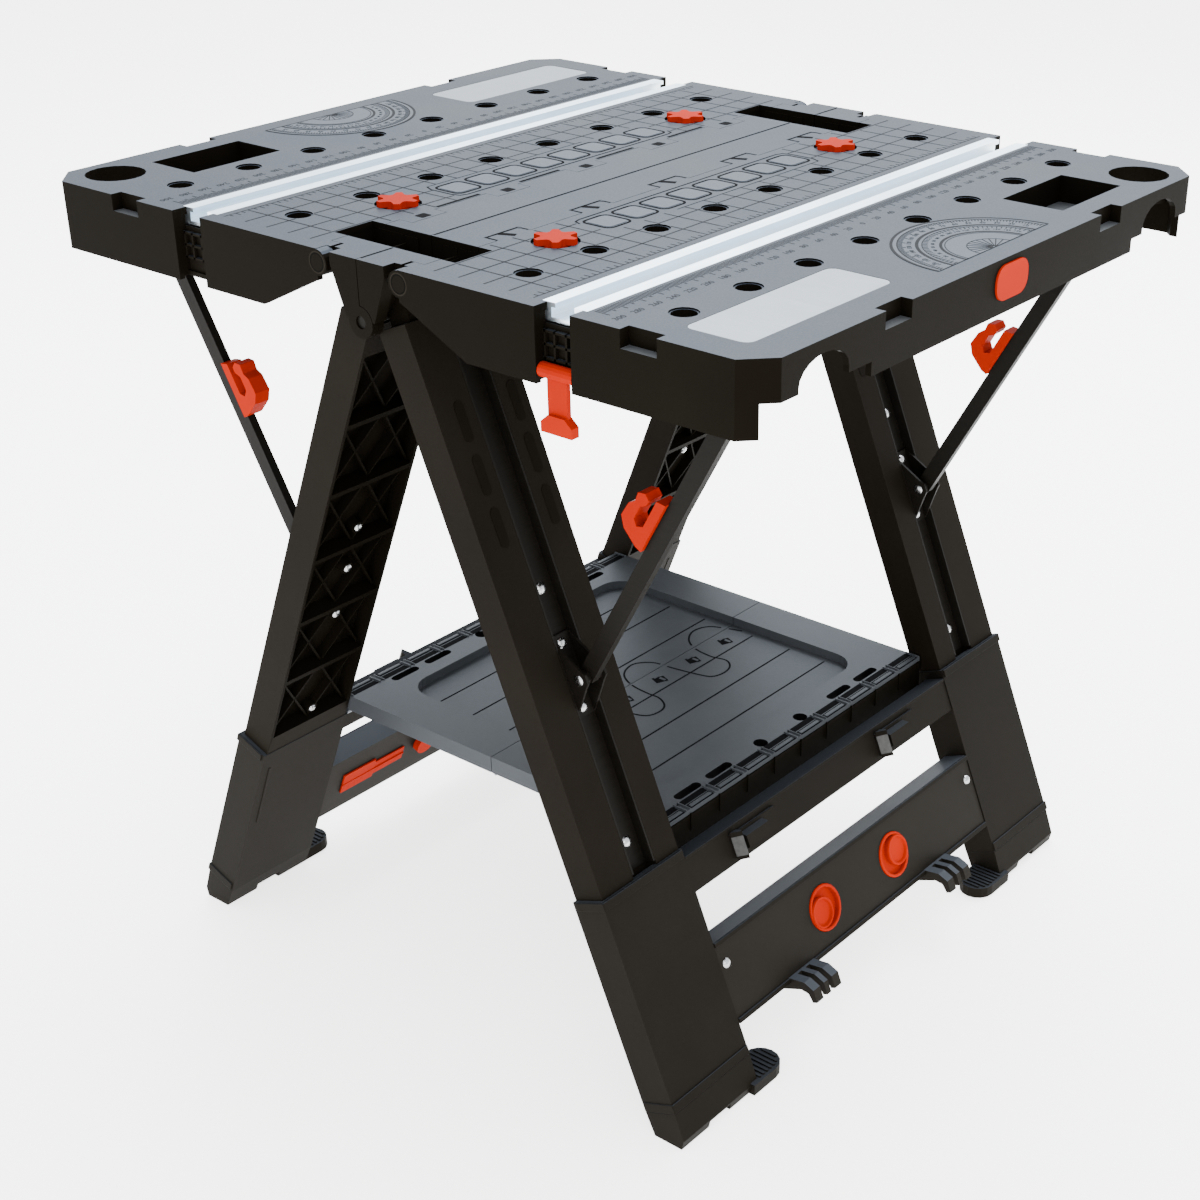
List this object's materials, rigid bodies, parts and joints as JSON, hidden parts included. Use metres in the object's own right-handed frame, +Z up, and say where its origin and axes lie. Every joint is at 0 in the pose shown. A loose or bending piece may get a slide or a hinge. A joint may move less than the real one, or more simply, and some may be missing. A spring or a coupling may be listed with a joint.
{
  "type": "folding workbench",
  "caption": "Folding workbench with two drop-down table wings on splayed legs, struts, T-tracks, dog holes, a tray, a cup hole and a folding tool shelf",
  "frame": {"origin": "floor, under the middle of the table", "axes": "+X across the two wings, +Y along the T-tracks, +Z up"},
  "size_m": [0.7712, 0.6372, 0.7202],
  "materials": {
    "table": "fine-grained slate grey",
    "dark": "matt black-brown",
    "orange": "satin orange",
    "aluminium": "clear anodised extrusion",
    "steel": "brushed",
    "channel": "dark grey paint on sheet steel",
    "shelf": "matt slate grey"
  },
  "bodies": {
    "pivot": {"main_pivot_rod": "steel"},
    "frame_right": {"spine_half_right": "dark", "wing_hinge_rod_right": "steel", "boot_frame_right": "dark", "lower_rail_right": "dark", "shelf_rod_right": "steel", "leg_right_near": "dark", "leg_right_far": "dark", "leg_channel_right_near": "channel", "leg_channel_right_far": "channel", "strut_bracket_right_near": "channel", "strut_bracket_right_far": "channel", "foot_right_near": "dark", "foot_right_far": "dark", "clamp_clip_right_near": "dark", "clamp_clip_right_far": "dark"},
    "wing_right": {"tabletop_right": "table", "t_track_right": "aluminium", "metal_plate_right": "steel"},
    "button_right": {"button_right": "orange"},
    "shelf_right": {"shelf_right": "shelf", "shelf_centre_rod": "steel"},
    "strut_right_near": {"strut_right_near": "channel", "strut_clip_right_near": "orange"},
    "cross_knob_right_near": {"cross_knob_right_near": "orange"},
    "rail_knob_right_near": {"rail_knob_right_near": "orange"},
    "strut_right_far": {"strut_right_far": "channel", "strut_clip_right_far": "orange"},
    "cross_knob_right_far": {"cross_knob_right_far": "orange"},
    "rail_knob_right_far": {"rail_knob_right_far": "orange"},
    "frame_left": {"spine_half_left": "dark", "wing_hinge_rod_left": "steel", "boot_frame_left": "dark", "lower_rail_left": "dark", "shelf_rod_left": "steel", "leg_left_near": "dark", "leg_left_far": "dark", "leg_channel_left_near": "channel", "leg_channel_left_far": "channel", "strut_bracket_left_near": "channel", "strut_bracket_left_far": "channel", "foot_left_near": "dark", "foot_left_far": "dark", "clamp_clip_left_near": "dark", "clamp_clip_left_far": "dark"},
    "wing_left": {"tabletop_left": "table", "t_track_left": "aluminium", "metal_plate_left": "steel"},
    "button_left": {"button_left": "orange"},
    "shelf_left": {"shelf_left": "shelf"},
    "strut_left_near": {"strut_left_near": "channel", "strut_clip_left_near": "orange"},
    "cross_knob_left_near": {"cross_knob_left_near": "orange"},
    "rail_knob_left_near": {"rail_knob_left_near": "orange"},
    "strut_left_far": {"strut_left_far": "channel", "strut_clip_left_far": "orange"},
    "cross_knob_left_far": {"cross_knob_left_far": "orange"},
    "rail_knob_left_far": {"rail_knob_left_far": "orange"},
    "latch_right_near": {"t_latch_right_near": "orange"},
    "latch_left_far": {"t_latch_left_far": "orange"}
  },
  "joints": [
    {"name": "leg_fold_right", "type": "hinge", "parent": "pivot", "child": "frame_right", "pos_m": [0, 0, 0.666], "axis": [0, 1, 0], "range_deg": [0, 22.4]},
    {"name": "leg_fold_left", "type": "hinge", "parent": "pivot", "child": "frame_left", "pos_m": [0, 0, 0.666], "axis": [0, -1, 0], "range_deg": [0, 22.4]},
    {"name": "wing_fold_right", "type": "hinge", "parent": "frame_right", "child": "wing_right", "pos_m": [0.0446, 0, 0.705], "axis": [0, 1, 0], "range_deg": [0, 67.6]},
    {"name": "strut_swing_right_near", "type": "hinge", "parent": "frame_right", "child": "strut_right_near", "pos_m": [0.16402, -0.25125, 0.38457], "axis": [0, 1, 0], "range_deg": [0, 125]},
    {"name": "cross_knob_turn_right_near", "type": "hinge", "parent": "wing_right", "child": "cross_knob_right_near", "pos_m": [0.087, -0.189, 0.716], "axis": [0, 0, 1], "range_deg": [-90, 90]},
    {"name": "rail_knob_turn_right_near", "type": "hinge", "parent": "frame_right", "child": "rail_knob_right_near", "pos_m": [0.27243, -0.0565, 0.09687], "axis": [0.9245, 0, 0.3811], "range_deg": [-90, 90]},
    {"name": "strut_swing_right_far", "type": "hinge", "parent": "frame_right", "child": "strut_right_far", "pos_m": [0.16402, 0.25125, 0.38457], "axis": [0, 1, 0], "range_deg": [0, 125]},
    {"name": "cross_knob_turn_right_far", "type": "hinge", "parent": "wing_right", "child": "cross_knob_right_far", "pos_m": [0.087, 0.189, 0.716], "axis": [0, 0, 1], "range_deg": [-90, 90]},
    {"name": "rail_knob_turn_right_far", "type": "hinge", "parent": "frame_right", "child": "rail_knob_right_far", "pos_m": [0.27243, 0.0565, 0.09687], "axis": [0.9245, 0, 0.3811], "range_deg": [-90, 90]},
    {"name": "button_press_right", "type": "slide", "parent": "wing_right", "child": "button_right", "axis": [-1, 0, 0], "range_m": [0, 0.004], "stiffness_N_per_m": 400},
    {"name": "wing_fold_left", "type": "hinge", "parent": "frame_left", "child": "wing_left", "pos_m": [-0.0446, 0, 0.705], "axis": [0, -1, 0], "range_deg": [0, 67.6]},
    {"name": "strut_swing_left_near", "type": "hinge", "parent": "frame_left", "child": "strut_left_near", "pos_m": [-0.16402, -0.25125, 0.38457], "axis": [0, -1, 0], "range_deg": [0, 125]},
    {"name": "cross_knob_turn_left_near", "type": "hinge", "parent": "wing_left", "child": "cross_knob_left_near", "pos_m": [-0.087, -0.189, 0.716], "axis": [0, 0, 1], "range_deg": [-90, 90]},
    {"name": "rail_knob_turn_left_near", "type": "hinge", "parent": "frame_left", "child": "rail_knob_left_near", "pos_m": [-0.27243, -0.0565, 0.09687], "axis": [-0.9245, 0, 0.3811], "range_deg": [-90, 90]},
    {"name": "strut_swing_left_far", "type": "hinge", "parent": "frame_left", "child": "strut_left_far", "pos_m": [-0.16402, 0.25125, 0.38457], "axis": [0, -1, 0], "range_deg": [0, 125]},
    {"name": "cross_knob_turn_left_far", "type": "hinge", "parent": "wing_left", "child": "cross_knob_left_far", "pos_m": [-0.087, 0.189, 0.716], "axis": [0, 0, 1], "range_deg": [-90, 90]},
    {"name": "rail_knob_turn_left_far", "type": "hinge", "parent": "frame_left", "child": "rail_knob_left_far", "pos_m": [-0.27243, 0.0565, 0.09687], "axis": [-0.9245, 0, 0.3811], "range_deg": [-90, 90]},
    {"name": "button_press_left", "type": "slide", "parent": "wing_left", "child": "button_left", "axis": [1, 0, 0], "range_m": [0, 0.004], "stiffness_N_per_m": 400},
    {"name": "latch_swing_right", "type": "hinge", "parent": "wing_right", "child": "latch_right_near", "pos_m": [0.199, -0.3128, 0.668], "axis": [-1, 0, 0], "range_deg": [0, 100]},
    {"name": "latch_swing_left", "type": "hinge", "parent": "wing_left", "child": "latch_left_far", "pos_m": [-0.199, 0.3128, 0.668], "axis": [1, 0, 0], "range_deg": [0, 100]},
    {"name": "shelf_fold_right", "type": "hinge", "parent": "frame_right", "child": "shelf_right", "pos_m": [0.1923, 0, 0.206], "axis": [0, 1, 0], "range_deg": [0, 67.61]},
    {"name": "shelf_fold_left", "type": "hinge", "parent": "shelf_right", "child": "shelf_left", "pos_m": [0, 0, 0.206], "axis": [0, 1, 0], "range_deg": [-178.51, 0]}
  ],
  "couplings": [
    {"joint": "leg_fold_left", "follows": "leg_fold_right", "ratio": 1},
    {"joint": "strut_swing_right_near", "follows": "wing_fold_right", "ratio": 1.8491},
    {"joint": "strut_swing_right_far", "follows": "wing_fold_right", "ratio": 1.8491},
    {"joint": "strut_swing_left_near", "follows": "wing_fold_left", "ratio": 1.8491},
    {"joint": "strut_swing_left_far", "follows": "wing_fold_left", "ratio": 1.8491},
    {"joint": "shelf_fold_right", "follows": "leg_fold_right", "ratio": 3.0179},
    {"joint": "shelf_fold_left", "follows": "leg_fold_right", "ratio": -7.9688}
  ]
}
